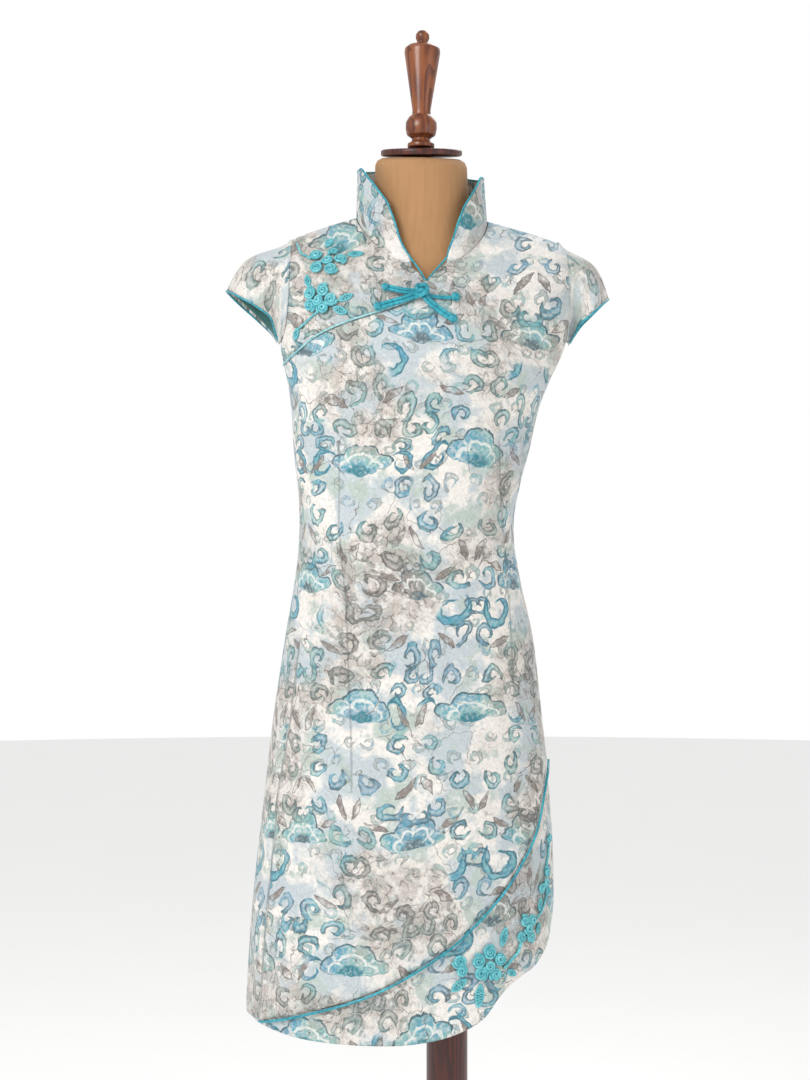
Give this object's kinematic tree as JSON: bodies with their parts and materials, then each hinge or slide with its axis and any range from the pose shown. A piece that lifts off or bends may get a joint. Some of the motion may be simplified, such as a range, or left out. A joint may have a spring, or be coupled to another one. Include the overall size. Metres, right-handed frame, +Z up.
{
  "type": "cheongsam dress on a dress form",
  "caption": "Short cap-sleeved cheongsam with standing collar, slanted opening, frog fastening and curved overlapping hem, worn by a limbless dress form on a turned wooden stand.",
  "frame": {"origin": "centre of the stand foot's underside, on the axis of the pole", "axes": "+Z up, the front of the dress faces -Y, +X to the right as seen from the front"},
  "size_m": [0.4439, 0.39, 1.6134],
  "materials": {
    "printed_cloth": "jacquard cotton, watercolour print",
    "satin_cord": "satin",
    "facing": "matt lining",
    "form_linen": "plain stretched linen",
    "turned_wood": "polished mahogany stain"
  },
  "bodies": {
    "root": {"front_panel": "printed_cloth", "shoulder_panel": "printed_cloth", "underlay_panel": "printed_cloth", "back_panel": "printed_cloth", "collar": "printed_cloth", "sleeve_left": "printed_cloth", "sleeve_facing_left": "facing", "sleeve_piping_left": "satin_cord", "sleeve_right": "printed_cloth", "sleeve_facing_right": "facing", "sleeve_piping_right": "satin_cord", "collar_piping": "satin_cord", "opening_piping": "satin_cord", "hem_piping": "satin_cord", "frog_knot": "satin_cord", "frog_arm_upper_left": "satin_cord", "frog_arm_lower_left": "satin_cord", "frog_arm_upper_right": "satin_cord", "frog_arm_lower_right": "satin_cord", "shoulder_flower_upper": "satin_cord", "shoulder_flower_lower": "satin_cord", "hem_flower_1": "satin_cord", "hem_flower_2": "satin_cord", "hem_flower_3": "satin_cord", "hem_bud_low": "satin_cord", "hem_bud_high": "satin_cord", "shoulder_leaf_1": "satin_cord", "shoulder_leaf_2": "satin_cord", "shoulder_leaf_3": "satin_cord", "shoulder_leaf_4": "satin_cord", "shoulder_leaf_5": "satin_cord", "shoulder_leaf_6": "satin_cord", "hem_leaf_1": "satin_cord", "hem_leaf_2": "satin_cord", "hem_leaf_3": "satin_cord", "hem_leaf_4": "satin_cord", "hem_leaf_5": "satin_cord", "hem_leaf_6": "satin_cord", "shoulder_tendril": "satin_cord", "shoulder_stem": "satin_cord", "hem_stem_1": "satin_cord", "hem_stem_2": "satin_cord", "hem_stem_3": "satin_cord", "form_torso": "form_linen", "neck_cap": "turned_wood", "finial": "turned_wood", "stand_pole": "turned_wood", "stand_base": "turned_wood"}
  },
  "joints": []
}
